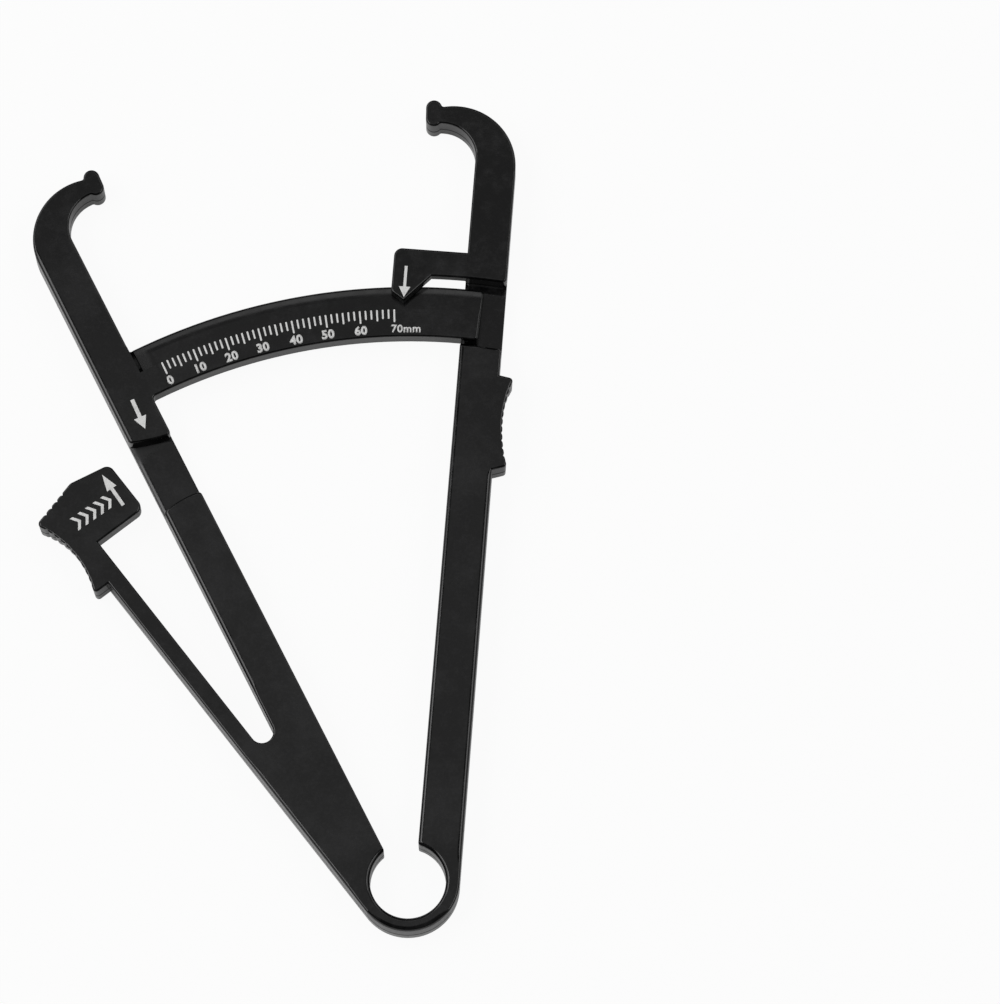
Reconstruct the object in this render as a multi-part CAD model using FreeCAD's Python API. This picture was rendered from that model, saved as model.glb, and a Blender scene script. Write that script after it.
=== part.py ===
import FreeCAD, Part
import math
import os

# Skinfold caliper: two sprung arms on a C-shaped ring, a graduated arc on the
# left arm, a pointer on the right arm and a thumb lever beside the left leg.
#
# Frame: origin at the centre of the ring, half way through the thickness.
# +Z is the front with the scale, +Y runs from the ring to the jaws.
# Millimetres, and degrees of lean to the left of +Y.

# Driving dimensions: the moulding
THICKNESS = 8.0        # back to front
EDGE_R = 0.5           # rounding along the outline, front and back

# The ring that joins the legs and springs them apart
HOLE_R = 8.1
RING_WALL = 2.95
HOLE_RIM_R = 0.9       # rounding of the hole's rims
MOUTH_R = 0.7          # rounding where the legs leave the hole

# The arms at rest, each a strip beside its own centre line
LEFT_LEAN = 26.75
RIGHT_LEAN = -4.4
ARM_WIDTH = 9.5        # at the ring
TAPER = 0.0018         # each edge draws in by this share of its length

# The hooked jaws
LEFT_TIP = 169.9       # ring centre to the middle of a contact face
RIGHT_TIP = 171.2
TIP_REACH = 9.8        # centre line to the contact face
BULB_WIDTH = 3.5       # its ends are fully round
BULB_LENGTH = 6.0
BULB_CREASE_R = 0.6    # where the hook runs into the bulb
HOOK_OUTER_R = 13.6
HOOK_FLAT = 0.54       # from the inner curve's end to the bulb's back
HOOK_CREST = 2.15      # crest of the outer curve above the face's middle
HOOK_HOLLOW = 2.1      # top of the inner curve below the face's middle

# The graduated arc and its pointer
ARC_OUTER_R = 132.55
ARC_WIDTH = 12.15
ARC_END_LEAN = -7.0
TRACK_WIDTH = 6.05     # outer band that the pointer runs over
TRACK_DEPTH = 2.9      # below the front
ARC_CORNER_R = 0.8
MOAT_WIDTH = 0.9       # blind groove between the track and the left jaw
MOAT_DEPTH = 0.7       # below the track's floor
POINTER_HEIGHT = 5.75  # width of the pointer's arm
POINTER_REACH = 14.15  # centre line to the pointer's far edge
APEX_REACH = 11.27
APEX_INTO_TRACK = 4.05 # pointer's apex inside the arc's outer edge
SHOULDER_RISE = 1.9    # far corner of the pointer above its apex
POINTER_SLANT = 5.6    # sideways run of the pointer's long slanted edge

# Sliding fits
TONGUE = 3.5           # back layer of a leg that a plate slides over
SLIDE_GAP = 0.3        # tongue to the plate above it
TRACK_GAP = 0.25       # track floor to the pointer
JAW_GAP = 1.65         # arc to the right jaw
STEP_GAP = 1.25        # arc to the step in the right leg
LAP = 2.0              # tongue's seat under the jaw

# The finger grip on the right leg
GRIP_LENGTH = 19.8
GRIP_CLEAR = 6.85      # its upper end to the recess for the scale
GRIP_PROUD = 3.0
GRIP_DIP = 1.6
GRIP_RISE = 0.5        # its upper end rises towards the arm
GRIP_FALL = 1.0        # its lower end falls towards the arm
GRIP_CORNER_R = 0.8
RIB_PITCH = 1.6
RIB_R = 1.1
RIB_PROUD = 0.015      # crest of a rib above the dish it is cut from
RIB_DRAFT = 0.8        # a ribbed wall leans in by this from front to back

# The thumb lever
LEVER_LEAN = 37.9
BLADE_WIDTH = 3.75
SLOT_END_R = 2.45      # end of the slot between blade and leg
PIVOT_UP_BLADE = 3.0   # bending centre of the blade above its root
LEVER_TRAVEL = 10.9    # full press, degrees; the two arrows are then in line
HEAD_START = 91.05     # along the lever, from the ring's centre
PLATE_LOW = 99.75
PLATE_HIGH = 112.15
PLATE_REACH = 5.05     # past the lever's centre line
PLATE_CORNER_R = 1.8
REST_CORNER_R = 1.0    # the rest's upper corner
SHOULDER_BARE = 2.2    # plain ends of the ribbed edge above the rest
HEAD_RISE = 1.8        # crest of the head above the plate's corner
HEAD_CREST = 4.2       # crest, outward from the lever's centre line
REST_PROUD_LOW = 3.85  # ends of the thumb rest outside the blade
REST_PROUD_HIGH = 4.55
REST_DIP = 2.2
REST_LENGTH = 19.95
PRESS_CLEAR = 0.35     # plate to the recess's lower step when pressed
MOUTH_FLARE = 0.8      # lower step's fall towards the lever
MOUTH_BULGE = 0.5
JAW_CLEAR = 1.5        # plate to the jaw's lower end when pressed
JAW_FLARE = 2.2        # jaw end's rise towards the lever
JAW_END_BULGE = 0.25
STEP_CORNER_R = 0.9    # plan rounding of a step's corners

LEFT, RIGHT = -1, 1
FAR = 60.0             # reach of a cutting block, beyond any piece it cuts
OVERLAP = 2.0          # one feature's reach into the next before they are joined

frontZ = THICKNESS / 2
backZ = -THICKNESS / 2
tongueZ = backZ + TONGUE
plateZ = tongueZ + SLIDE_GAP
trackZ = frontZ - TRACK_DEPTH
pointerZ = trackZ + TRACK_GAP

armOuter = HOLE_R + RING_WALL
armInner = armOuter - ARM_WIDTH
arcInnerR = ARC_OUTER_R - ARC_WIDTH
stepR = ARC_OUTER_R - TRACK_WIDTH
recessOuterR = ARC_OUTER_R + JAW_GAP
recessInnerR = arcInnerR - STEP_GAP
bladeInner = armOuter - BLADE_WIDTH


def frame(side, lean):
    # Plan point from its distance outward from a centre line and along it.
    turn = math.radians(lean)

    def point(out, along):
        x = side * out
        return FreeCAD.Vector(x * math.cos(turn) - along * math.sin(turn),
                              x * math.sin(turn) + along * math.cos(turn), 0)
    return point


leftArm = frame(LEFT, LEFT_LEAN)
rightArm = frame(RIGHT, RIGHT_LEAN)
lever = frame(LEFT, LEVER_LEAN)


def onCircle(radius, out):
    # Point at a sideways distance on a circle about the ring's centre.
    return out, math.sqrt(radius ** 2 - out ** 2)


def polar(radius, lean):
    turn = math.radians(lean)
    return FreeCAD.Vector(-radius * math.sin(turn), radius * math.cos(turn), 0)


def polygon(*spots):
    return Part.Face(Part.makePolygon(spots + (spots[0],)))


def plan(place, start, *legs):
    # Closed face: a leg is one point for a line, or two for an arc.
    edges = []
    here = place(*start)
    for leg in legs + ((start,),):
        there = place(*leg[-1])
        if len(leg) == 2:
            edges.append(Part.Arc(here, place(*leg[0]), there).toShape())
        elif here.distanceToPoint(there) > 1e-6:
            edges.append(Part.makeLine(here, there))
        here = there
    return Part.Face(Part.Wire(edges))


def prism(face, low, high):
    solid = face.extrude(FreeCAD.Vector(0, 0, high - low))
    solid.translate(FreeCAD.Vector(0, 0, low))
    return solid


def through(face):
    return prism(face, backZ - OVERLAP, frontZ + OVERLAP)


def post(spot, radius):
    height = THICKNESS + 2 * OVERLAP
    return Part.makeCylinder(radius, height, FreeCAD.Vector(spot.x, spot.y, backZ - OVERLAP))


def isUpright(edge, spot, reach):
    ends = [vertex.Point for vertex in edge.Vertexes]
    if len(ends) != 2 or abs(ends[0].z - ends[1].z) < 0.1:
        return False
    return all(math.hypot(p.x - spot.x, p.y - spot.y) < reach for p in ends)


def isCrease(solid, edge):
    # Whether the walls on both sides of an edge meet at an angle.
    spot = edge.valueAt((edge.FirstParameter + edge.LastParameter) / 2)
    first, second = [face.normalAt(*face.Surface.parameter(spot))
                     for face in solid.ancestorsOfType(edge, Part.Face)]
    return abs(first.dot(second)) < 0.98


def roundCorners(solid, radius, spots, reach=0.05):
    for spot in spots:
        edges = [edge for edge in solid.Edges if isUpright(edge, spot, reach)]
        edges = [edge for edge in edges if isCrease(solid, edge)]
        if edges:
            solid = solid.makeFillet(radius, edges)
    return solid


def edgesAt(solid, level):
    box = [(edge, edge.BoundBox) for edge in solid.Edges]
    return [e for e, b in box if abs(b.ZMin - level) < 1e-4 and abs(b.ZMax - level) < 1e-4]


def roundRims(solid, radius, *levels):
    for level in levels:
        solid = solid.makeFillet(radius, edgesAt(solid, level))
    return solid


def middle(a, b, push=0.0):
    # Mid point of two plan points, pushed to the left of the way from a to b.
    length = math.hypot(b[0] - a[0], b[1] - a[1])
    return ((a[0] + b[0]) / 2 - push * (b[1] - a[1]) / length,
            (a[1] + b[1]) / 2 + push * (b[0] - a[0]) / length)


def hollowThrough(a, b, dip):
    # Centre and radius of the arc from a to b that dips to the left of the way.
    chord = math.hypot(b[0] - a[0], b[1] - a[1])
    radius = (chord ** 2 / 4 + dip ** 2) / (2 * dip)
    return middle(a, b, dip - radius), radius


def dish(place, a, b, dip):
    # The hollow of a grip, which runs deeper towards the back.
    wires = []
    for level in (backZ - OVERLAP, frontZ + OVERLAP):
        deep = dip + RIB_DRAFT * (frontZ - level) / THICKNESS
        wire = plan(place, a, (middle(a, b, deep), b), (middle(a, b, -dip),)).OuterWire
        wires.append(wire.translated(FreeCAD.Vector(0, 0, level)))
    return Part.makeLoft(wires, True, True)


def dishCrests(place, a, b, dip):
    # Where the ribs of a dish lie, each with its way into the material.
    centre, radius = hollowThrough(a, b, dip)
    chord = math.hypot(b[0] - a[0], b[1] - a[1])
    first = math.atan2(a[1] - centre[1], a[0] - centre[0])
    sweep = 2 * math.asin(chord / 2 / radius)
    count = int(chord / RIB_PITCH)
    crests = []
    for i in range(1, count):
        turn = first - sweep * i / count
        spot = place(centre[0] + radius * math.cos(turn), centre[1] + radius * math.sin(turn))
        crests.append((spot, (spot - place(*centre)).normalize()))
    return crests


def edgeCrests(place, a, b):
    # The same for a straight edge with plain ends.
    length = math.hypot(b[0] - a[0], b[1] - a[1])
    count = int((length - 2 * SHOULDER_BARE) / RIB_PITCH)
    way = (place(*middle(a, b, 1)) - place(*middle(a, b))).normalize()
    shares = [(SHOULDER_BARE + (length - 2 * SHOULDER_BARE) * i / count) / length for i in range(count + 1)]
    return [(place(*a) * (1 - share) + place(*b) * share, way) for share in shares]


def ribCutter(front, back):
    # A strip along the wall less a round post for each rib.
    outside, inside, posts = [], [], []
    for (spot, way), (foot, _) in zip(front, back):
        outside.append(spot - way * OVERLAP)
        inside.append(foot + way * RIB_R / 2)
        axis = spot - foot + FreeCAD.Vector(0, 0, THICKNESS)
        more = axis * (OVERLAP / THICKNESS)
        low = foot + way * (RIB_R - RIB_PROUD) + FreeCAD.Vector(0, 0, backZ) - more
        posts.append(Part.makeCylinder(RIB_R, axis.Length + 2 * more.Length, low, axis))
    return through(polygon(*outside, *inside[::-1])).cut(posts)


def innerAt(along):
    return armInner + TAPER * along


def outerAt(along):
    return armOuter - TAPER * along


def onEdge(edgeAt, radius):
    # Where an arm's straight edge crosses a circle about the ring's centre.
    along = radius
    for _ in range(9):
        along = math.sqrt(radius ** 2 - edgeAt(along) ** 2)
    return edgeAt(along), along


def bulb(side, lean, tip):
    # Places the bulb: its contact face lies on a line through the ring's centre,
    # so that the two faces meet flat when the arms are squeezed together.
    return frame(side, lean + side * math.degrees(math.atan(TIP_REACH / tip))), math.hypot(TIP_REACH, tip)


def bulbFace(place, reach):
    half = BULB_WIDTH / 2
    low, high = reach - BULB_LENGTH / 2 + half, reach + BULB_LENGTH / 2 - half
    return plan(place, (0, low),
                ((0, high),),
                ((half, high + half), (BULB_WIDTH, high)),
                ((BULB_WIDTH, low),),
                ((half, low - half), (0, low)))


def armFace(place, tip):
    # A straight strip from the ring that ends in a hook inside the bulb.
    hollowTop = tip - HOOK_HOLLOW
    innerOut = BULB_WIDTH - TIP_REACH + HOOK_FLAT
    innerR = (innerAt(hollowTop) - innerOut) / (1 + TAPER)
    innerTop = hollowTop - innerR
    outerTop = tip + HOOK_CREST - HOOK_OUTER_R
    outerOut = outerAt(outerTop) - HOOK_OUTER_R
    half = math.sqrt(0.5)
    neck = BULB_WIDTH / 2 - TIP_REACH
    neckHigh = outerTop + math.sqrt(HOOK_OUTER_R ** 2 - (neck - outerOut) ** 2)
    return plan(place, (armInner, 0),
                ((innerAt(innerTop), innerTop),),
                ((innerOut + half * innerR, innerTop + half * innerR),
                 (innerOut, hollowTop)),
                ((neck, hollowTop),),
                ((neck, neckHigh),),
                ((outerOut + half * HOOK_OUTER_R, outerTop + half * HOOK_OUTER_R),
                 (outerAt(outerTop), outerTop)),
                ((armOuter, 0),))


gripHigh = (armOuter + GRIP_PROUD, recessInnerR - GRIP_CLEAR)
gripLow = (gripHigh[0], gripHigh[1] - GRIP_LENGTH)
restLow = (armOuter + REST_PROUD_LOW, HEAD_START)
restHigh = (armOuter + REST_PROUD_HIGH, HEAD_START + REST_LENGTH)
headTop = (HEAD_CREST, PLATE_HIGH + HEAD_RISE)


def gripFace():
    root, spread = armOuter - OVERLAP, 1 + OVERLAP / GRIP_PROUD
    return plan(rightArm, (root, gripLow[1] - spread * GRIP_FALL),
                (gripLow,),
                (gripHigh,),
                ((root, gripHigh[1] + spread * GRIP_RISE),))


# The blade's slot is a V between the leg's outer edge and the blade's inner
# edge, closed by a round end that both edges run into.
legLean = LEFT_LEAN - math.degrees(math.atan(TAPER))
legEdge = frame(LEFT, legLean)
legEdgeOut = armOuter * math.cos(math.atan(TAPER))
spread = math.radians(LEVER_LEAN - legLean)
slotApex = (legEdgeOut - bladeInner * math.cos(spread)) / math.sin(spread)
slotRun = SLOT_END_R / math.tan(spread / 2)
bladeRoot = slotApex + slotRun
legSlotEnd = slotApex * math.cos(spread) - bladeInner * math.sin(spread) + slotRun
pivotOut = (armOuter + bladeInner) / 2
pivotAlong = bladeRoot + PIVOT_UP_BLADE
pivot = lever(pivotOut, pivotAlong)


def slotFace():
    tip = HEAD_START + FAR
    throatOut = bladeInner - SLOT_END_R
    endMiddle = lever(throatOut, bladeRoot)
    apex = lever(bladeInner, slotApex)
    down = (apex - endMiddle).normalize() * SLOT_END_R + endMiddle
    bladeSide, legSide = lever(bladeInner, bladeRoot), legEdge(legEdgeOut, legSlotEnd)
    edges = [Part.makeLine(lever(bladeInner, tip), bladeSide),
             Part.Arc(bladeSide, down, legSide).toShape(),
             Part.makeLine(legSide, legEdge(legEdgeOut, tip)),
             Part.makeLine(legEdge(legEdgeOut, tip), lever(bladeInner, tip))]
    return Part.Face(Part.Wire(edges))


def fanFace():
    # The left leg's foot, the blade and what joins them, before the slot.
    top = HEAD_START + OVERLAP
    return polygon(FreeCAD.Vector(0, 0, 0), lever(armOuter, 0), lever(armOuter, top),
                   lever(bladeInner, top), leftArm(outerAt(top) - OVERLAP, legSlotEnd + SLOT_END_R))


def headFace():
    return plan(lever, (bladeInner, HEAD_START),
                ((armOuter, HEAD_START),),
                (restLow,),
                (restHigh,),
                (headTop,),
                ((-PLATE_REACH, PLATE_HIGH),),
                ((-PLATE_REACH, PLATE_LOW),),
                ((bladeInner, PLATE_LOW),))


def pressed(out, along, travel):
    # Where a point of the lever lies in the left arm's frame once pressed.
    turn = math.radians(LEVER_LEAN - LEFT_LEAN - travel)
    dx, dy = pivotOut - out, along - pivotAlong
    home = math.radians(LEFT_LEAN)
    pivotSide = -(pivot.x * math.cos(home) + pivot.y * math.sin(home))
    pivotUp = -pivot.x * math.sin(home) + pivot.y * math.cos(home)
    return (pivotSide - dx * math.cos(turn) + dy * math.sin(turn),
            pivotUp + dx * math.sin(turn) + dy * math.cos(turn))


seamInner = pressed(-PLATE_REACH, PLATE_LOW, LEVER_TRAVEL)[1] - PRESS_CLEAR
seamOuter = seamInner - MOUTH_FLARE
jawEndInner = pressed(-PLATE_REACH, PLATE_HIGH, LEVER_TRAVEL)[1] + JAW_CLEAR
jawEndOuter = jawEndInner + JAW_FLARE


def leftRecess():
    # The leg's front is cut away here so that the lever's plate slides in.
    legInner, legOuter = (innerAt(seamInner), seamInner), (outerAt(seamOuter), seamOuter)
    jawInner, jawOuter = (innerAt(jawEndInner), jawEndInner), (outerAt(jawEndOuter), jawEndOuter)
    return plan(leftArm, (armInner - OVERLAP, seamInner),
                (legInner,),
                (middle(legInner, legOuter, MOUTH_BULGE), legOuter),
                ((armOuter + OVERLAP, seamOuter),),
                ((armOuter + OVERLAP, jawEndOuter),),
                (jawOuter,),
                (middle(jawOuter, jawInner, JAW_END_BULGE), jawInner),
                ((armInner - OVERLAP, jawEndInner),))


def rightRecess():
    # Bounded by two arcs about the ring's centre, as the scale slides here.
    near, far = armInner - OVERLAP, armOuter + OVERLAP
    half = (near + far) / 2
    return plan(rightArm, onCircle(recessInnerR, near),
                (onCircle(recessInnerR, half), onCircle(recessInnerR, far)),
                (onCircle(recessOuterR, far),),
                (onCircle(recessOuterR, half), onCircle(recessOuterR, near)))


leftBulb = bulb(LEFT, LEFT_LEAN, LEFT_TIP)
rightBulb = bulb(RIGHT, RIGHT_LEAN, RIGHT_TIP)


def arcBand(low, high):
    # Face between two radii, from inside the left jaw to the arc's free end.
    root = armInner + OVERLAP
    ends = [[leftArm(*onCircle(radius, root)), polar(radius, 0), polar(radius, ARC_END_LEAN)]
            for radius in (low, high)]
    return Part.Face(Part.Wire([Part.Arc(*ends[0]).toShape(), Part.makeLine(ends[0][2], ends[1][2]),
                                Part.Arc(*ends[1]).toShape(), Part.makeLine(ends[1][0], ends[0][0])]))


def arcPlate():
    corners = [polar(radius, ARC_END_LEAN) for radius in (arcInnerR, ARC_OUTER_R)]
    return roundCorners(prism(arcBand(arcInnerR, ARC_OUTER_R), plateZ, frontZ), ARC_CORNER_R, corners)


def pointerPlate():
    # A thin plate from the right jaw that carries the pointed head.
    root = armInner + OVERLAP
    top = recessOuterR + POINTER_HEIGHT
    apex = onCircle(ARC_OUTER_R - APEX_INTO_TRACK, -APEX_REACH)
    shoulder = (-POINTER_REACH, apex[1] + SHOULDER_RISE)
    crook = onCircle(recessOuterR, POINTER_SLANT - APEX_REACH)
    face = plan(rightArm, onCircle(recessOuterR, root),
                (onCircle(recessOuterR, 0), crook),
                (apex,),
                (shoulder,),
                ((-POINTER_REACH, top),),
                ((root, top),))
    plate = roundCorners(prism(face, pointerZ, frontZ), STEP_CORNER_R, [rightArm(*shoulder)])
    return roundCorners(plate, 2 * STEP_CORNER_R, [rightArm(-POINTER_REACH, top)])


def moulding(plate):
    # Both arms, the ring, the lever and one of the plates that pass over the
    # other arm, as one outline before it is parted.
    ring = Part.makeCylinder(armOuter, THICKNESS, FreeCAD.Vector(0, 0, backZ))
    faces = [armFace(leftArm, LEFT_TIP), armFace(rightArm, RIGHT_TIP), bulbFace(*leftBulb),
             bulbFace(*rightBulb), gripFace(), fanFace()]
    solid = ring.multiFuse([prism(face, backZ, frontZ) for face in faces])
    solid = solid.cut(dish(rightArm, gripLow, gripHigh, GRIP_DIP))
    mouth = polygon(rightArm(0, -OVERLAP), *[place(innerAt(along), along) for place, along in (
        (rightArm, 0), (rightArm, FAR / 2), (leftArm, FAR / 2), (leftArm, 0))])
    solid = solid.cut(post(leftArm(0, 0), HOLE_R)).cut(through(mouth)).cut(through(slotFace()))
    head = prism(headFace(), backZ, frontZ).cut(dish(lever, restLow, restHigh, REST_DIP))
    solid = solid.fuse(head).removeSplitter()
    for recess in (leftRecess(), rightRecess()):
        solid = solid.cut(prism(recess, tongueZ, frontZ + OVERLAP))
    near, low, high = -PLATE_REACH - OVERLAP, PLATE_LOW - OVERLAP, PLATE_HIGH + HEAD_RISE
    under = polygon(lever(bladeInner, low), lever(bladeInner, high), lever(near, high), lever(near, low))
    return solid.cut(prism(under, backZ - OVERLAP, plateZ)).fuse(plate).removeSplitter()


def rimCutter(level, outward):
    # What a rounded rim removes from the hole's edge.
    def at(radius, rise):
        return FreeCAD.Vector(radius, 0, level + outward * rise)
    bend = HOLE_RIM_R * (1 - math.sqrt(0.5))
    wall, rim = at(HOLE_R, -HOLE_RIM_R), at(HOLE_R + HOLE_RIM_R, 0)
    hollow = [at(HOLE_R + HOLE_RIM_R, OVERLAP), at(HOLE_R - OVERLAP, OVERLAP),
              at(HOLE_R - OVERLAP, -HOLE_RIM_R)]
    outline = [Part.Arc(wall, at(HOLE_R + bend, -bend), rim).toShape(),
               Part.makePolygon([rim] + hollow + [wall])]
    return Part.Face(Part.Wire(outline)).revolve(FreeCAD.Vector(0, 0, 0), FreeCAD.Vector(0, 0, 1), 360)


def ribbed(solid):
    for place, low, high, dip in ((rightArm, gripLow, gripHigh, GRIP_DIP),
                                  (lever, restLow, restHigh, REST_DIP)):
        solid = solid.cut(ribCutter(dishCrests(place, low, high, dip),
                                    dishCrests(place, low, high, dip + RIB_DRAFT)))
    shoulder = edgeCrests(lever, restHigh, headTop)
    return solid.cut(ribCutter(shoulder, shoulder))


def softened(solid):
    # Plan corners first, then the rounding that runs along every outline.
    for place, reach in (leftBulb, rightBulb):
        solid = roundCorners(solid, BULB_CREASE_R, [place(BULB_WIDTH / 2, reach)], BULB_LENGTH / 2)
    mouthHigh = onCircle(HOLE_R, armInner)
    solid = roundCorners(solid, MOUTH_R, [rightArm(*mouthHigh), leftArm(*mouthHigh)])
    solid = roundCorners(solid, STEP_CORNER_R, [leftArm(innerAt(jawEndInner), jawEndInner),
                                                leftArm(outerAt(jawEndOuter), jawEndOuter),
                                                leftArm(innerAt(seamInner), seamInner),
                                                leftArm(outerAt(seamOuter), seamOuter),
                                                rightArm(*onEdge(outerAt, recessOuterR)),
                                                rightArm(*onEdge(outerAt, recessInnerR))])
    solid = roundCorners(solid, ARC_CORNER_R, [leftArm(*onEdge(innerAt, ARC_OUTER_R)),
                                               leftArm(*onEdge(innerAt, arcInnerR))])
    solid = roundCorners(solid, GRIP_CORNER_R, [rightArm(*gripLow), rightArm(*gripHigh), lever(*restLow)])
    solid = roundCorners(solid, REST_CORNER_R, [lever(*restHigh)])
    solid = roundCorners(solid, PLATE_CORNER_R, [lever(-PLATE_REACH, PLATE_HIGH),
                                                 lever(-PLATE_REACH, PLATE_LOW), lever(*headTop)])
    solid = roundRims(solid, EDGE_R, frontZ, backZ)
    return ribbed(solid.cut(rimCutter(frontZ, 1)).cut(rimCutter(backZ, -1)))


def legRegion(place, seamLow, tongueHigh):
    # Everything below the step, and the tongue up to its seat in the jaw.
    near, far = armInner - FAR / 2, armOuter + FAR / 2

    def block(high):
        return polygon(place(near, -FAR), place(far, -FAR), place(far, high), place(near, high))
    return through(block(seamLow)).fuse(prism(block(tongueHigh), backZ - OVERLAP, tongueZ))


def flexureRegion():
    # The ring's free part, from the lever's line round to the right leg.
    start, end = 90 + LEVER_LEAN, 270 + RIGHT_LEAN
    spots = [polar(2 * armOuter, start + (end - start) * share) for share in (0, 0.33, 0.67, 1)]
    return through(polygon(FreeCAD.Vector(0, 0, 0), *spots))


def jawSide(place, margin=0.0):
    # The strip an arm fills, which the arc or the pointer butts against.
    far = 2 * ARC_OUTER_R
    return through(polygon(place(armInner - margin, 0), place(innerAt(far) - margin, far),
                           place(outerAt(far), far), place(armOuter, 0)))


def plateZone(place):
    # Around the plate that reaches from an arm over the other one.
    rim = recessOuterR + POINTER_HEIGHT + OVERLAP
    hub = (recessInnerR + arcInnerR) / 2
    level = (tongueZ + plateZ) / 2
    spot = FreeCAD.Vector(0, 0, level)
    height = frontZ + OVERLAP - level
    zone = Part.makeCylinder(rim, height, spot).cut(Part.makeCylinder(hub, height, spot))
    return zone.cut(jawSide(place))


def sunkTrack(arc):
    # The outer band is sunk for the pointer, its free edges rounded in turn.
    track = arcBand(stepR, ARC_OUTER_R + OVERLAP)
    moat = prism(track, trackZ - MOAT_DEPTH, frontZ).common(jawSide(leftArm, MOAT_WIDTH))
    arc = arc.cut(prism(track, trackZ, frontZ + OVERLAP))
    rims = []
    for edge in edgesAt(arc, trackZ):
        spot = edge.valueAt((edge.FirstParameter + edge.LastParameter) / 2)
        radius, lean = math.hypot(spot.x, spot.y), math.degrees(math.atan2(-spot.x, spot.y))
        if radius > ARC_OUTER_R - ARC_CORNER_R or lean < ARC_END_LEAN / 2:
            rims.append(edge)
    return arc.makeFillet(EDGE_R, rims).cut(moat)


def leverZone(low, high):
    near, far = -PLATE_REACH - OVERLAP / 2, armOuter + FAR / 3
    return through(polygon(lever(near, low), lever(far, low), lever(far, high), lever(near, high)))


def bladeZone():
    near, far = bladeInner - OVERLAP / 4, armOuter + OVERLAP
    return through(polygon(lever(near, bladeRoot), lever(far, bladeRoot),
                           lever(far, HEAD_START), lever(near, HEAD_START)))


def subparts():
    parts = {}
    left = softened(moulding(arcPlate()))
    for name, region in (("lever_head", leverZone(HEAD_START, HEAD_START + FAR)),
                         ("lever_blade", bladeZone()),
                         ("spring_ring", flexureRegion())):
        parts[name] = left.common(region)
        left = left.cut(region)
    left = min(left.Solids, key=lambda solid: solid.CenterOfMass.x)
    right = softened(moulding(pointerPlate())).cut(flexureRegion())
    right = max(right.Solids, key=lambda solid: solid.CenterOfMass.x)
    parts["scale_arc"] = sunkTrack(left.common(plateZone(leftArm)))
    parts["pointer_arm"] = right.common(plateZone(rightArm))
    left, right = left.cut(plateZone(leftArm)), right.cut(plateZone(rightArm))
    leftLeg = legRegion(leftArm, jawEndInner - STEP_CORNER_R, jawEndOuter + LAP)
    rightLeg = legRegion(rightArm, ARC_OUTER_R, recessOuterR + LAP)
    parts["left_leg"], parts["left_jaw"] = left.common(leftLeg), left.cut(leftLeg)
    parts["right_leg"], parts["right_jaw"] = right.common(rightLeg), right.cut(rightLeg)
    return parts


def main():
    os.makedirs("parts", exist_ok=True)
    for name, shape in subparts().items():
        solid, = shape.Solids
        print(name, round(solid.Volume, 1), "mm3", "valid" if solid.isValid() else "INVALID")
        solid.exportStep("parts/" + name + ".step")


main()
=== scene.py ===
import bpy, bmesh, math
from mathutils import Matrix, Vector


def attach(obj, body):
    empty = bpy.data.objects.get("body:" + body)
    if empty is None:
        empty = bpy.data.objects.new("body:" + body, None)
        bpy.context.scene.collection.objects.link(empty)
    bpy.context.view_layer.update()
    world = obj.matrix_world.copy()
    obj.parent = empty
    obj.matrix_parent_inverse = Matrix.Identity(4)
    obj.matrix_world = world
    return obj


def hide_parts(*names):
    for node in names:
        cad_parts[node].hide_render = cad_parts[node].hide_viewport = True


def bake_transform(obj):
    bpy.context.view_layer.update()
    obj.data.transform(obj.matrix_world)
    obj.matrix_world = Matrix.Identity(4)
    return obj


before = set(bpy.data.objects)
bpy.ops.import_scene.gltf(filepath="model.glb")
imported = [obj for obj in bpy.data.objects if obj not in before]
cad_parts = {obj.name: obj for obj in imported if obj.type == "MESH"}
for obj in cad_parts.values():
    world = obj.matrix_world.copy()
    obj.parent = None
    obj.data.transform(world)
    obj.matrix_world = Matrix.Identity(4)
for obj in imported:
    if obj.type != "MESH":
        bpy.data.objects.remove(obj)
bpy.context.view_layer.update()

toMetres = 0.001   # sizes are in millimetres, but the backdrop's width and the lamps are in metres

camera = {
    "place": (19.607, -262.028, 1319.555),
    "tilt": 14.7,          # degrees from looking straight down
    "lens": 226.8,
    "sensor": 36.0,
    "clip": (0.05, 50),    # metres too
}


def makeCamera():
    data = bpy.data.cameras.new("camera")
    data.sensor_fit = "HORIZONTAL"
    data.sensor_width = camera["sensor"]
    data.lens = camera["lens"]
    data.clip_start, data.clip_end = camera["clip"]
    thing = bpy.data.objects.new("camera", data)
    bpy.context.scene.collection.objects.link(thing)
    thing.location = Vector(camera["place"]) * toMetres
    thing.rotation_euler = (math.radians(camera["tilt"]), 0, 0)
    bpy.context.scene.camera = thing


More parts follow.
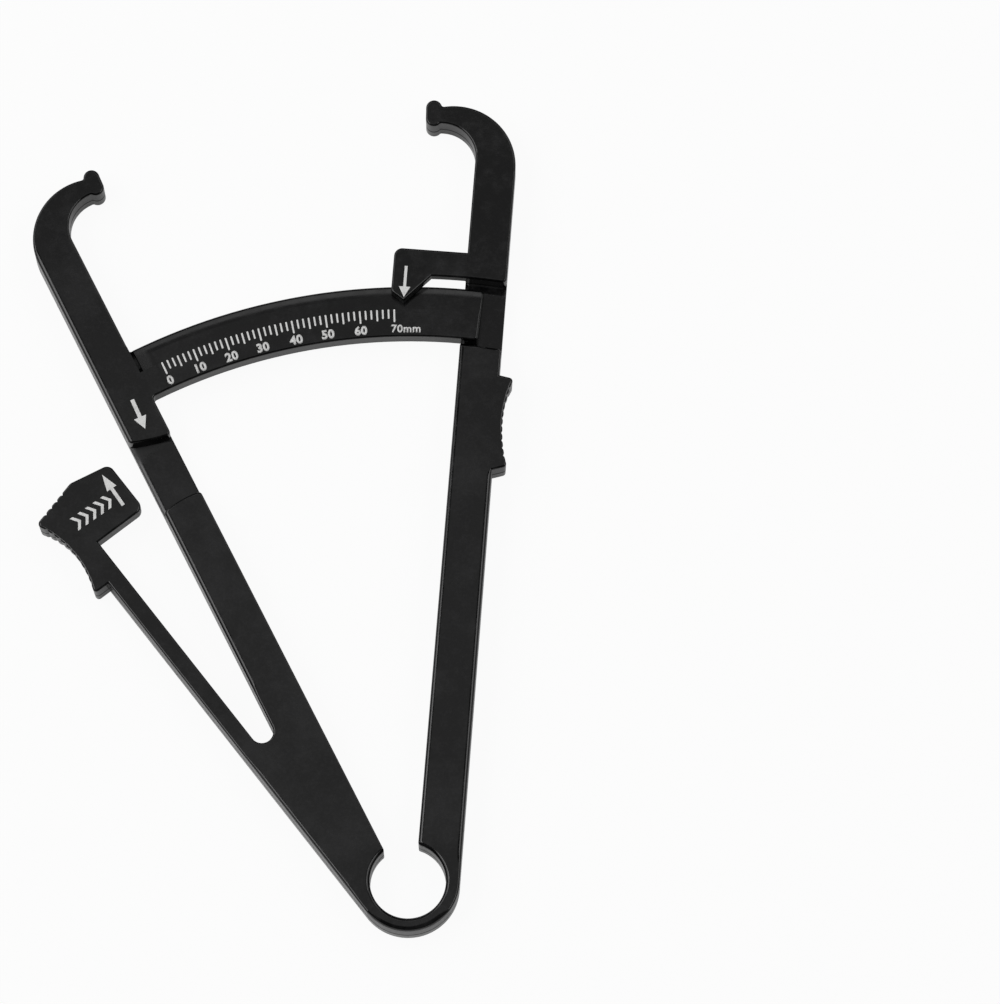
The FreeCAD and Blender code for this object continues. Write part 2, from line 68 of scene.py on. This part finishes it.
# A Wire is the output of a shader node, and an expression on it adds nodes.
class Wire:
    def __init__(self, tree, socket):
        self.tree, self.socket = tree, socket

    def add(self, kind, settings, inputs, output=0):
        node = self.tree.nodes.new(kind)
        for name, value in settings.items():
            setattr(node, name, value)
        for name, value in inputs.items():
            if isinstance(value, Wire):
                self.tree.links.new(value.socket, node.inputs[name])
            else:
                node.inputs[name].default_value = value
        return Wire(self.tree, node.outputs[output])

    def math(self, operation, *values):
        return self.add("ShaderNodeMath", {"operation": operation}, dict(enumerate(values)))

    def __add__(self, other):
        return self.math("ADD", self, other)

    def __sub__(self, other):
        return self.math("SUBTRACT", self, other)

    def __rsub__(self, other):
        return self.math("SUBTRACT", other, self)

    def __mul__(self, other):
        return self.math("MULTIPLY", self, other)

    __radd__, __rmul__ = __add__, __mul__

    def unsigned(self):
        return self.math("ABSOLUTE", self)

    def root(self):
        return self.math("SQRT", self)

    def atLeast(self, low):
        return self.math("MAXIMUM", self, low)

    def atMost(self, high):
        return self.math("MINIMUM", self, high)

    def step(self, low, high):
        # smooth rise from 0 to 1 between two values
        return self.add("ShaderNodeMapRange", {"interpolation_type": "SMOOTHSTEP"},
                        {"Value": self, "From Min": low, "From Max": high})

    def noise(self, scale, detail):
        return self.add("ShaderNodeTexNoise", {}, {"Vector": self, "Scale": scale, "Detail": detail})

    def along(self, axis):
        return self.add("ShaderNodeSeparateXYZ", {}, {0: self}, axis)

    def mixed(self, first, second):
        # two colours, with this as the share of the second
        return self.add("ShaderNodeMix", {"data_type": "RGBA"}, {0: self, 6: first, 7: second}, 2)

    def bump(self):
        # a height in millimetres
        return self.add("ShaderNodeBump", {}, {"Height": self, "Strength": 1.0, "Distance": toMetres})


def startMaterial(name):
    material = bpy.data.materials.new(name)
    material.use_nodes = True
    tree = material.node_tree
    shader = tree.nodes["Principled BSDF"]
    spot = Wire(tree, tree.nodes.new("ShaderNodeTexCoord").outputs["Object"])
    return material, tree, shader, spot


def plug(tree, shader, **values):
    for name, value in values.items():
        socket = shader.inputs[name.replace("_", " ")]
        if isinstance(value, Wire):
            tree.links.new(value.socket, socket)
        else:
            socket.default_value = value


backdrop = {
    "width": 6.0,
    "height": -4.01,       # just under the caliper's back
    "white": (0.80, 0.80, 0.80, 1),
    "glow": 0.94,          # share of plain white in the floor as the camera sees it
    "glossGlow": 0.20,     # the same in the caliper's reflections
    "world": 0.06,
}

lamps = {
    "overhead": {"place": (-0.07, 0.285, 1.37), "size": (0.60, 1.33), "turn": 16, "power": 0.68},
    "overheadNear": {"place": (-0.07, 0.06, 1.35), "size": (0.60, 0.88), "turn": 16, "power": 0.28},
    "leftStrip": {"place": (-0.68, 0.06, 1.22), "size": (0.34, 0.83), "turn": 0, "power": 3.2},
    "rightStrip": {"place": (0.68, 0.06, 1.22), "size": (0.32, 0.83), "turn": 0, "power": 2.2},
    "leftSide": {"place": (-1.05, 0.30, 0.95), "size": (0.80, 2.0), "turn": 0, "power": 8.5},
    "rightSide": {"place": (1.05, 0.30, 0.95), "size": (0.80, 2.0), "turn": 0, "power": 5.0},
    "behind": {"place": (-0.10, 0.86, 1.32), "size": (1.60, 0.26), "turn": 0, "power": 1.25},
}


def makeFloor():
    sheet = bmesh.new()
    bmesh.ops.create_grid(sheet, x_segments=1, y_segments=1, size=backdrop["width"] / 2)
    bmesh.ops.translate(sheet, vec=(0, 0, backdrop["height"] * toMetres), verts=sheet.verts)
    mesh = bpy.data.meshes.new("floor")
    sheet.to_mesh(mesh)
    sheet.free()
    floor = bpy.data.objects.new("floor", mesh)
    bpy.context.scene.collection.objects.link(floor)
    material, tree, shader, spot = startMaterial("paleFloor")
    tree.nodes.remove(shader)
    ray = tree.nodes.new("ShaderNodeLightPath").outputs
    direct = Wire(tree, ray["Is Camera Ray"]) + Wire(tree, ray["Is Transmission Ray"])
    glowing = direct * backdrop["glow"] + Wire(tree, ray["Is Glossy Ray"]) * backdrop["glossGlow"]
    lit = spot.add("ShaderNodeBsdfDiffuse", {}, {"Color": backdrop["white"]})
    glow = spot.add("ShaderNodeEmission", {}, {"Color": (1, 1, 1, 1), "Strength": 1.0})
    either = spot.add("ShaderNodeMixShader", {}, {0: glowing, 1: lit, 2: glow})
    tree.links.new(either.socket, tree.nodes["Material Output"].inputs["Surface"])
    mesh.materials.append(material)


def makeLamps():
    for name, lamp in lamps.items():
        data = bpy.data.lights.new(name, "AREA")
        data.shape = "RECTANGLE"
        data.size, data.size_y = lamp["size"]
        data.energy = lamp["power"]
        thing = bpy.data.objects.new(name, data)
        bpy.context.scene.collection.objects.link(thing)
        thing.location = lamp["place"]
        turn = math.radians(lamp["turn"])
        back = Vector(lamp["place"]).normalized()   # every lamp points at the origin
        long = Vector((math.sin(turn), math.cos(turn), 0))
        long = (long - back * back.dot(long)).normalized()
        thing.rotation_euler = Matrix((long.cross(back), long, back)).transposed().to_euler()
    world = bpy.data.worlds.new("studio")
    world.use_nodes = True
    world.node_tree.nodes["Background"].inputs["Color"].default_value = (1, 1, 1, 1)
    world.node_tree.nodes["Background"].inputs["Strength"].default_value = backdrop["world"]
    bpy.context.scene.world = world


plastic = {
    "slot": "black_plastic",
    "shade": (0.0003, 0.0003, 0.0004, 1),
    "paler": (0.0112, 0.0112, 0.0116, 1),
    # each pattern adds its share of the paler shade, and a little is taken off the sum
    "cloud": {"scale": 62.0, "detail": 3.0, "range": (0.40, 0.70), "share": 0.72},
    "mottle": {"scale": 420.0, "detail": 4.0, "range": (0.38, 0.74), "share": 0.42},
    "speckle": {"scale": 1500.0, "detail": 2.0, "range": (0.38, 0.75), "share": 0.42},
    "takenOff": 0.24,
    "grain": {"scale": 2600.0, "detail": 2.0, "height": 0.0025},   # fine texture of the mould
    "roughness": 0.11,
    "rougher": 0.08,       # where the mottle is full
    "ior": 1.47,
    "ledge": -0.5,         # height on the walls where the mould's halves met
    "ledgeTall": 0.9,
    "ledgeStep": 0.22,
    "draft": 0.026,        # lean of the walls away from that line
    "levelWithin": (0.04, 0.10),   # a flat's own finish fades out this far from its height
}


def patterned(spot, name):
    pattern = plastic[name]
    return spot.noise(pattern["scale"], pattern["detail"]).step(*pattern["range"])


def atLevel(spot, level):
    # 1 on the flat that lies at this height
    away = (spot.along(2) * (1 / toMetres) - level).unsigned()
    return 1 - away.step(*plastic["levelWithin"])


def dressPlastic(tree, shader, spot, palerToo=0.0, roughToo=0.0, heightToo=0.0):
    cloud, mottle, speckle = (patterned(spot, name) for name in ("cloud", "mottle", "speckle"))
    # palerToo is painted light and painted shade, added to or taken off the share of the paler shade
    share = (cloud * plastic["cloud"]["share"] + mottle * plastic["mottle"]["share"]
             + speckle * plastic["speckle"]["share"] + palerToo - plastic["takenOff"])
    rise = spot.along(2) * (1 / toMetres) - plastic["ledge"]
    ledge = rise.step(-plastic["ledgeTall"] / 2, plastic["ledgeTall"] / 2) * plastic["ledgeStep"]
    grain = spot.noise(plastic["grain"]["scale"], plastic["grain"]["detail"]) * plastic["grain"]["height"]
    height = grain - rise.unsigned() * plastic["draft"] - ledge + heightToo
    plug(tree, shader, IOR=plastic["ior"], Normal=height.bump(),
         Base_Color=share.atLeast(0).atMost(1).mixed(plastic["shade"], plastic["paler"]),
         Roughness=mottle * plastic["rougher"] + plastic["roughness"] + roughToo)


def makePlastic():
    material, tree, shader, spot = startMaterial("blackPlastic")
    dressPlastic(tree, shader, spot)
    return material


ringRim = {
    "outer": 11.05,
    "width": 1.45,         # the rim falls away over this width
    "fall": 0.27,
    "bottom": (6.0, 9.0),  # and only at the bottom, coming in between these distances below the centre
}


def fromCentre(spot):
    # distance from the ring's centre in plan
    east, north = spot.along(0), spot.along(1)
    return (east * east + north * north).root() * (1 / toMetres)


def makeRingPlastic():
    material, tree, shader, spot = startMaterial("ringPlastic")
    past = (fromCentre(spot) - (ringRim["outer"] - ringRim["width"])).atLeast(0)
    bottom = (spot.along(1) * (-1 / toMetres)).step(*ringRim["bottom"])
    dressPlastic(tree, shader, spot, heightToo=past * past * bottom * -ringRim["fall"])
    return material


# An arm's line runs through the ring's centre. Places on an arm are given outward from it and along it.
arms = {
    "leftLean": 26.75,
    "rightLean": -4.4,
    "leverLean": 37.9,
    "inner": 1.55,         # edges level with the ring's centre
    "outer": 11.05,
    "taper": 0.0018,
    "lip": 1.25,           # the face falls away over this width beside an edge
    "fall": 0.175,
    "ringEnd": (2.0, 8.0), # the lips beside the ring come in between these distances along
    "gripStart": (90.0, 92.0),    # the right arm's outer lip ends
    "bladeStart": (38.0, 44.0),   # the lip of the left arm's foot ends, along the lever
    "slotEnd": (50.0, 54.0),      # the left arm's own outer lip comes in
}


def armPlan(spot, side, lean):
    # how far out from an arm's line, and how far along it
    turn = math.radians(lean)
    east, north = spot.along(0) * (1 / toMetres), spot.along(1) * (1 / toMetres)
    return (east * (side * math.cos(turn)) + north * (side * math.sin(turn)),
            north * math.cos(turn) - east * math.sin(turn))


def lip(inside):
    # height of the face, from the distance inside the edge
    past = (arms["lip"] - inside).atLeast(0)
    return past * past * -arms["fall"]


def outerLip(out, along):
    return lip(arms["outer"] - along * arms["taper"] - out)


def makeJawPlastic():
    material, tree, shader, spot = startMaterial("jawPlastic")
    dressPlastic(tree, shader, spot, heightToo=outerLip(*armPlan(spot, -1, arms["leftLean"])))
    return material


tongue = {
    "level": -0.5,
    "outer": (10.85, 113.23),   # ends of the left jaw's lower edge, outward and along
    "inner": (1.75, 111.03),
    "foot": 2.0,           # each tongue slopes over this length below its jaw
    "start": 0.4,          # and is level again this close to it
    "leftSlope": 0.14,     # rise towards the jaw for each millimetre
    "rightSlope": -0.08,
    "rightJaw": 134.20,    # radius of the right jaw's lower edge
    "wearSheenEnd": (-1.6, 1.0),   # the left tongue's rubbed patch, rougher and with a painted sheen, fades out between these distances below the jaw
    "wearSheenFrom": 3.0,       # at this place outward
    "wearSheenGrowth": 0.55,    # and reaches farther by this for each millimetre outward
    "wearSheenRough": 0.26,
    "legPaintedLight": 0.3,       # painted light: share of the paler shade added all over the left leg, to show it more brightly lit
}


def sloped(below, slope):
    # the tongue's rise towards the jaw, from the distance below it
    return (tongue["foot"] - below.atLeast(tongue["start"])).atLeast(0) * slope


def makeRightLegPlastic():
    material, tree, shader, spot = startMaterial("rightLegPlastic")
    out, along = armPlan(spot, 1, arms["rightLean"])
    outer = outerLip(out, along) * (1 - along.step(*arms["gripStart"]))
    inner = lip(out - along * arms["taper"] - arms["inner"])
    rise = sloped(tongue["rightJaw"] - fromCentre(spot), tongue["rightSlope"])
    dressPlastic(tree, shader, spot, heightToo=(inner + outer) * along.step(*arms["ringEnd"])
                 + atLevel(spot, tongue["level"]) * rise)
    return material


def makeLeftLegPlastic():
    material, tree, shader, spot = startMaterial("leftLegPlastic")
    out, along = armPlan(spot, -1, arms["leftLean"])
    leverOut, leverAlong = armPlan(spot, -1, arms["leverLean"])
    edges = (outerLip(out, along) * along.step(*arms["slotEnd"])
             + lip(arms["outer"] - leverOut) * leverAlong.step(*arms["ringEnd"])
             * (1 - leverAlong.step(*arms["bladeStart"])))
    (outerOut, outerAlong), (innerOut, innerAlong) = tongue["outer"], tongue["inner"]
    below = (out - innerOut) * ((outerAlong - innerAlong) / (outerOut - innerOut)) + innerAlong - along
    # painted sheen: the rubbed patch of the left tongue is painted paler where it catches light, and is
    # rougher too
    wearAndSheen = 1 - (below - (out - tongue["wearSheenFrom"]) * tongue["wearSheenGrowth"]).step(*tongue["wearSheenEnd"])
    flat = atLevel(spot, tongue["level"])
    # the paler share here is painted light: a sheen on the tongue's rubbed patch and a lighter tone over the
    # whole leg
    dressPlastic(tree, shader, spot, palerToo=flat * wearAndSheen + tongue["legPaintedLight"],
                 roughToo=flat * wearAndSheen * tongue["wearSheenRough"],
                 heightToo=edges + flat * sloped(below, tongue["leftSlope"]))
    return material


track = {
    "level": 1.1,
    "outer": 132.55,       # radius of the arc's outer edge
    "step": 126.5,         # and of the edge of the raised scale
    "stepSoft": 0.05,
    "border": 2.4,         # width of the outer edge that falls away
    "fall": 0.038,
    # painted shade on the sunk floor of the track, all but its end
    "sunkShade": 0.25,
    "armEdge": 1.77,       # the left arm's inner edge, outward
    "groove": 0.9,         # width of the groove beside it
    "grooveSoft": (-0.02, 0.08),
    "grooveTilt": 0.45,    # rise of its floor for each millimetre away from the ring
    # painted shade in the groove
    "grooveShade": 2,
    "end": 3.1,            # length of the end between the groove and the crease, painted paler as a highlight
    "endSoft": (0.3, 1.2), # its two sides fade over these widths
    "endRough": 0.14,
    "crease": 1.95,        # from the outer edge to the crease round the track
    "creaseWidth": 0.45,
    "creaseSoft": 0.5,
    # painted shade along the crease
    "creaseShade": 0.7,
}


def makeTrackPlastic():
    material, tree, shader, spot = startMaterial("trackPlastic")
    radius = fromCentre(spot)
    inset = track["armEdge"] - armPlan(spot, -1, arms["leftLean"])[0]
    past = (radius - (track["outer"] - track["border"])).atLeast(0)
    grooveEdge, creaseEdge = track["groove"], track["groove"] + track["end"]
    groove = ((1 - inset.step(*(grooveEdge + soft for soft in track["grooveSoft"])))
              * radius.step(track["step"], track["step"] + track["stepSoft"]))
    end = (inset.step(grooveEdge, grooveEdge + track["endSoft"][0])
           * (1 - inset.step(creaseEdge - track["endSoft"][1], creaseEdge)))
    fromRim = (radius - (track["outer"] - track["crease"])).unsigned()
    fromEnd = (inset - creaseEdge).unsigned()
    crease = ((1 - fromRim.atMost(fromEnd).step(0, track["creaseWidth"]))
              * inset.step(creaseEdge - track["creaseSoft"], creaseEdge))
    flat = atLevel(spot, track["level"])
    # the paler share paints a highlight on the end, and painted shade on the rest of the sunk floor, along
    # the crease and in the groove
    dressPlastic(tree, shader, spot, roughToo=flat * end * track["endRough"],
                 palerToo=(flat * end - flat * (1 - end) * track["sunkShade"]
                           - crease * track["creaseShade"] - groove * track["grooveShade"]),
                 heightToo=past * past * -track["fall"]
                 + groove * spot.along(1) * (track["grooveTilt"] / toMetres))
    return material


ink = {
    "low": 3.985,          # the front face is at 4
    "high": 4.02,
    "thin": (0.71, 0.71, 0.70, 1),
    "thick": (0.82, 0.82, 0.81, 1),
    "patches": {"scale": 900.0, "detail": 3.0, "range": (0.30, 0.52)},
    "grain": {"scale": 3200.0, "detail": 2.0, "height": 0.004},
    "roughness": 0.62,
    "smoother": 0.10,      # where the ink is thick
}


def makeInk():
    material, tree, shader, spot = startMaterial("whiteInk")
    thick = spot.noise(ink["patches"]["scale"], ink["patches"]["detail"]).step(*ink["patches"]["range"])
    grain = spot.noise(ink["grain"]["scale"], ink["grain"]["detail"]) * ink["grain"]["height"]
    plug(tree, shader, Base_Color=thick.mixed(ink["thin"], ink["thick"]), Normal=grain.bump(),
         Roughness=ink["roughness"] - thick * ink["smoother"])
    return material


def onArm(side, lean, out, along):
    # plan point from its distance outward from an arm's line and along it
    turn = math.radians(lean)
    x = side * out
    return Vector((x * math.cos(turn) - along * math.sin(turn),
                   x * math.sin(turn) + along * math.cos(turn), 0))


def finishPiece(name, mesh, body, material):
    # mesh is a bmesh in millimetres
    bmesh.ops.scale(mesh, vec=(toMetres,) * 3, verts=mesh.verts)
    data = bpy.data.meshes.new(name)
    mesh.to_mesh(data)
    mesh.free()
    data.materials.append(material)
    piece = bpy.data.objects.new(name, data)
    bpy.context.scene.collection.objects.link(piece)
    if body:
        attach(piece, body)
    return piece


def printed(mesh, corners):
    # prism of ink over a plan outline
    face = mesh.faces.new([mesh.verts.new((p.x, p.y, ink["low"])) for p in corners])
    face.normal_update()
    if face.normal.z > 0:
        face.normal_flip()
    grown = bmesh.ops.extrude_face_region(mesh, geom=[face])["geom"]
    bmesh.ops.translate(mesh, vec=(0, 0, ink["high"] - ink["low"]),
                        verts=[g for g in grown if isinstance(g, bmesh.types.BMVert)])


bend = {
    "ringSlices": 26,
    "ringStart": (-7.6, -5.9, 0),
    "ringEnd": (9.57, -0.74, 0),
    "bladeRoot": 44.8,     # along the lever's line
    "bladeEnd": 91.05,
    "bladeMiddle": 9.18,   # outward from it
    "bladeSlices": 24,
    "smoothBelow": 32.0,   # degrees between faces
}


def flexCopy(node, planes):
    # a copy of a bending node, cut across so that it bends evenly
    mesh = bmesh.new()
    mesh.from_mesh(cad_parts[node].data)
    bmesh.ops.remove_doubles(mesh, verts=mesh.verts, dist=1e-6)
    bmesh.ops.scale(mesh, vec=(1 / toMetres,) * 3, verts=mesh.verts)
    for spot, normal in planes:
        bmesh.ops.bisect_plane(mesh, geom=mesh.verts[:] + mesh.edges[:] + mesh.faces[:], dist=1e-4,
                               plane_co=spot, plane_no=normal)
    bmesh.ops.recalc_face_normals(mesh, faces=mesh.faces)
    for face in mesh.faces:
        face.smooth = True
    for edge in mesh.edges:
        edge.smooth = len(edge.link_faces) == 2 and edge.calc_face_angle() < math.radians(bend["smoothBelow"])
    return mesh


def makeRing(material):
    turns = [math.pi * i / bend["ringSlices"] for i in range(1, bend["ringSlices"])]
    planes = [(Vector(), Vector((math.cos(turn), math.sin(turn), 0))) for turn in turns]
    ring = finishPiece("springRing", flexCopy("spring_ring", planes), None, material)
    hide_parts("spring_ring")
    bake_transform(ring)


def makeBlade(material):
    root, head = (onArm(-1, arms["leverLean"], bend["bladeMiddle"], along)
                  for along in (bend["bladeRoot"], bend["bladeEnd"]))
    count = bend["bladeSlices"]
    planes = [(root.lerp(head, i / count), (head - root).normalized()) for i in range(1, count)]
    blade = finishPiece("leverBlade", flexCopy("lever_blade", planes), None, material)
    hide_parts("lever_blade")
    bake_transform(blade)


scale = {
    "zeroLean": 25.2,      # where 0 lies, in degrees to the left of straight up from the ring
    "tipRadius": 170.8,
    "tickTop": 126.5,
    "tickWidth": 0.38,
    "tickRound": 0.16,
    "ticks": [2.9, 2.1, 2.1, 2.6, 2.1, 2.1],   # lengths, over again for every ten millimetres
    "top": 70,
}


def scaleLean(opening):
    return scale["zeroLean"] - 2 * math.degrees(math.asin(opening / 2 / scale["tipRadius"]))


def makeTicks(material):
    marks = bmesh.new()
    perTen = len(scale["ticks"])
    for i in range(scale["top"] * perTen // 10 + 1):
        length = scale["ticks"][i % perTen]
        new = bmesh.ops.create_cube(marks, size=1.0)["verts"]
        bmesh.ops.scale(marks, vec=(scale["tickWidth"], length, ink["high"] - ink["low"]), verts=new)
        upright = {e for v in new for e in v.link_edges if abs(e.verts[0].co.z - e.verts[1].co.z) > 1e-4}
        rounded = bmesh.ops.bevel(marks, geom=list(upright), offset=scale["tickRound"],
                                  offset_type="OFFSET", segments=3, profile=0.5, affect="EDGES",
                                  material=-1)["verts"]
        new = list({v for v in new if v.is_valid}
                   | {v for f in rounded for e in f.link_edges for v in e.verts})
        middle = Vector((0, scale["tickTop"] - length / 2, (ink["high"] + ink["low"]) / 2))
        bmesh.ops.translate(marks, vec=middle, verts=new)
        bmesh.ops.rotate(marks, cent=(0, 0, 0), verts=new,
                         matrix=Matrix.Rotation(math.radians(scaleLean(i * 10 / perTen)), 3, "Z"))
    finishPiece("scaleTicks", marks, "left_arm", material)


numerals = {
    "radius": 122.1,
    "leans": [25.16, 21.78, 18.46, 15.13, 11.67, 8.37, 4.99],
    "lastLean": 0.39,
    "tens": {"height": 2.13, "width": None, "heavier": 0.046},   # heavier is a share of the type's size
    "last": {"height": 1.85, "width": 6.35, "heavier": 0.028},
    "spacing": 1.07,
    "curveSteps": 4,
}


def writeWord(name, words, size, lean, material):
    curve = bpy.data.curves.new(name, "FONT")
    curve.body = words
    curve.align_x, curve.align_y = "CENTER", "CENTER"
    curve.offset = size["heavier"]
    curve.space_character = numerals["spacing"]
    curve.resolution_u = numerals["curveSteps"]
    thing = bpy.data.objects.new(name, curve)
    bpy.context.scene.collection.objects.link(thing)
    bpy.context.view_layer.update()
    flat = bpy.data.meshes.new_from_object(thing)
    bpy.data.objects.remove(thing)
    mesh = bmesh.new()
    mesh.from_mesh(flat)
    bmesh.ops.remove_doubles(mesh, verts=mesh.verts, dist=1e-5)
    xs, ys = [v.co.x for v in mesh.verts], [v.co.y for v in mesh.verts]
    bmesh.ops.translate(mesh, vec=(-(min(xs) + max(xs)) / 2, -(min(ys) + max(ys)) / 2, 0),
                        verts=mesh.verts)
    tall = size["height"] / (max(ys) - min(ys))
    wide = size["width"] / (max(xs) - min(xs)) if size["width"] else tall
    bmesh.ops.scale(mesh, vec=(wide, tall, 1), verts=mesh.verts)
    grown = bmesh.ops.extrude_face_region(mesh, geom=mesh.faces[:])["geom"]
    bmesh.ops.translate(mesh, vec=(0, 0, ink["high"] - ink["low"]),
                        verts=[g for g in grown if isinstance(g, bmesh.types.BMVert)])
    bmesh.ops.recalc_face_normals(mesh, faces=mesh.faces)
    bmesh.ops.translate(mesh, vec=(0, numerals["radius"], ink["low"]), verts=mesh.verts)
    bmesh.ops.rotate(mesh, cent=(0, 0, 0), matrix=Matrix.Rotation(math.radians(lean), 3, "Z"),
                     verts=mesh.verts)
    finishPiece(name, mesh, "left_arm", material)


def makeNumerals(material):
    for i, lean in enumerate(numerals["leans"]):
        words = str(10 * i)
        writeWord("numeral" + words, words, numerals["tens"], lean, material)
    writeWord("numeral70", "70mm", numerals["last"], numerals["lastLean"], material)


arrows = {
    "jawArrow": {"body": "left_arm", "tail": onArm(-1, arms["leftLean"], 5.99, 121.78),
                 "tip": onArm(-1, arms["leftLean"], 6.31, 114.58), "head": 2.9, "half": 1.42, "shaft": 0.87},
    "pointerArrow": {"body": "right_arm", "tail": onArm(1, arms["rightLean"], -11.29, 135.85),
                     "tip": onArm(1, arms["rightLean"], -11.26, 128.76),
                     "head": 2.4, "half": 1.25, "shaft": 0.62},
    "leverArrow": {"body": "thumb_lever", "tail": Vector((-61.7, 82.4, 0)), "tip": Vector((-66.4, 89.2, 0)),
                   "head": 3.75, "half": 1.2, "shaft": 0.78},
}


def makeArrows(material):
    for name, arrow in arrows.items():
        way = (arrow["tip"] - arrow["tail"]).normalized()
        across = Vector((-way.y, way.x, 0))
        neck = arrow["tip"] - way * arrow["head"]
        barb, edge = across * arrow["half"], across * arrow["shaft"] / 2
        mesh = bmesh.new()
        printed(mesh, [arrow["tip"], neck + barb, neck + edge, arrow["tail"] + edge,
                       arrow["tail"] - edge, neck - edge, neck - barb])
        finishPiece(name, mesh, arrow["body"], material)


chevrons = {
    "start": Vector((-72.3, 78.0, 0)),
    "way": Vector((0.81, 0.586, 0)),
    "count": 5,
    "pitch": 2.0,
    "half": 1.6,           # half the height
    "reach": 1.1,          # point ahead of the ends
    "stroke": 0.75,
}


def makeChevrons(material):
    way = chevrons["way"].normalized()
    across = Vector((-way.y, way.x, 0))
    mesh = bmesh.new()
    for i in range(chevrons["count"]):
        back = chevrons["start"] + way * chevrons["pitch"] * i
        ends = [back + across * chevrons["half"], back + way * chevrons["reach"],
                back - across * chevrons["half"]]
        front = [p + way * chevrons["stroke"] for p in ends]
        printed(mesh, ends + front[::-1])
    finishPiece("pressChevrons", mesh, "thumb_lever", material)


def dressNodes(material, others):
    for name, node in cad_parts.items():
        node.data.materials.clear()
        node.data.materials.append(others.get(name, material))


bpy.context.scene.view_settings.view_transform = "Standard"
makeCamera()
makeFloor()
makeLamps()
print("floor and lamps are set")
blackPlastic = makePlastic()
whiteInk = makeInk()
dressNodes(blackPlastic, {"scale_arc": makeTrackPlastic(), "left_leg": makeLeftLegPlastic(),
                          "left_jaw": makeJawPlastic(), "right_leg": makeRightLegPlastic()})
print("moulding has its plastic")
makeRing(makeRingPlastic())
makeBlade(blackPlastic)
makeTicks(whiteInk)
makeNumerals(whiteInk)
makeArrows(whiteInk)
makeChevrons(whiteInk)
print("scale and arrows are printed")
